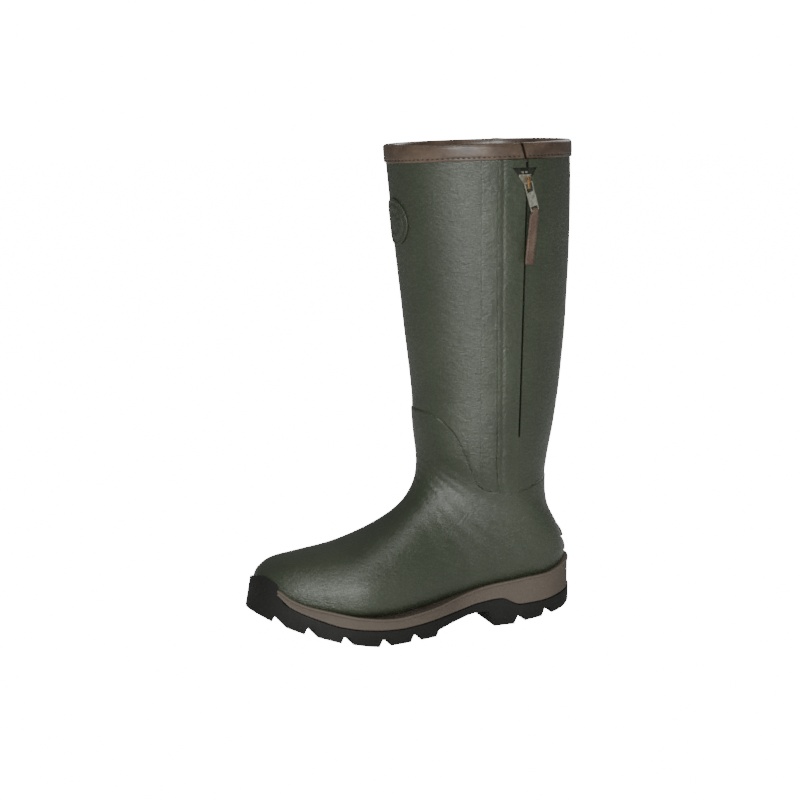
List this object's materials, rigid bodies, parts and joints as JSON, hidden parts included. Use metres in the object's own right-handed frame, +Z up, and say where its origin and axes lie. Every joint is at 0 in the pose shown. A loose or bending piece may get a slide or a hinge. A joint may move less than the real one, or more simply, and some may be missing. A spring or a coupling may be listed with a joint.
{
  "type": "insulated hunting boot",
  "caption": "Knee-high rubber hunting boot with a lugged sole, leather collar, neoprene lining and a side zip behind a rubber placket.",
  "frame": {"origin": "middle of the bounding box, on the ground under the boot", "axes": "+Z up the shaft, -Y towards the toe, +X towards the outer side of the foot, where the zip is"},
  "size_m": [0.1396, 0.3022, 0.4281],
  "materials": {
    "green_rubber": "satin, fine pebbled grain",
    "placket_rubber": "satin, fine pebbled grain",
    "midsole_rubber": "matte taupe",
    "outsole_rubber": "matte black",
    "collar_leather": "smooth, slightly waxed",
    "pull_leather": "oiled",
    "neoprene": "jersey faced",
    "footbed_foam": "felt faced foam",
    "stiffener_board": "pressed board",
    "shank_steel": "sprung steel strip",
    "zip_tape": "woven",
    "zip_teeth": "moulded",
    "zip_metal": "brushed nickel",
    "bail_brass": "antique"
  },
  "bodies": {
    "boot": {"outsole": "outsole_rubber", "midsole": "midsole_rubber", "shank": "shank_steel", "heel_kicker": "midsole_rubber", "foot_shell": "green_rubber", "shaft": "green_rubber", "toe_cap": "green_rubber", "toe_puff": "stiffener_board", "heel_counter": "stiffener_board", "insole_board": "stiffener_board", "lining": "neoprene", "footbed": "footbed_foam", "collar_binding": "collar_leather", "front_badge": "green_rubber", "placket_base": "placket_rubber", "placket_cover": "placket_rubber", "zip_tape_front": "zip_tape", "zip_tape_rear": "zip_tape", "zip_teeth_front": "zip_teeth", "zip_teeth_rear": "zip_teeth", "zip_top_stop_front": "zip_metal", "zip_top_stop_rear": "zip_metal", "zip_bottom_stop": "zip_metal", "zip_gusset": "zip_tape"},
    "slider": {"slider_body": "zip_metal", "slider_bail": "bail_brass"},
    "pull": {"pull_tab": "zip_metal"},
    "strap": {"leather_pull": "pull_leather"}
  },
  "joints": [
    {"name": "zip_slide", "type": "slide", "parent": "boot", "child": "slider", "axis": [-0.0629, 0.0086, -0.998], "range_m": [0, 0.2164]},
    {"name": "pull_flip", "type": "hinge", "parent": "slider", "child": "pull", "pos_m": [0.06697, 0.07827, 0.39301], "axis": [0.1031, -0.9507, -0.2924], "range_deg": [0, 120]},
    {"name": "strap_swing", "type": "hinge", "parent": "pull", "child": "strap", "pos_m": [0.0662, 0.08532, 0.36982], "axis": [0.1031, -0.9507, -0.2924], "range_deg": [-2, 75]}
  ]
}
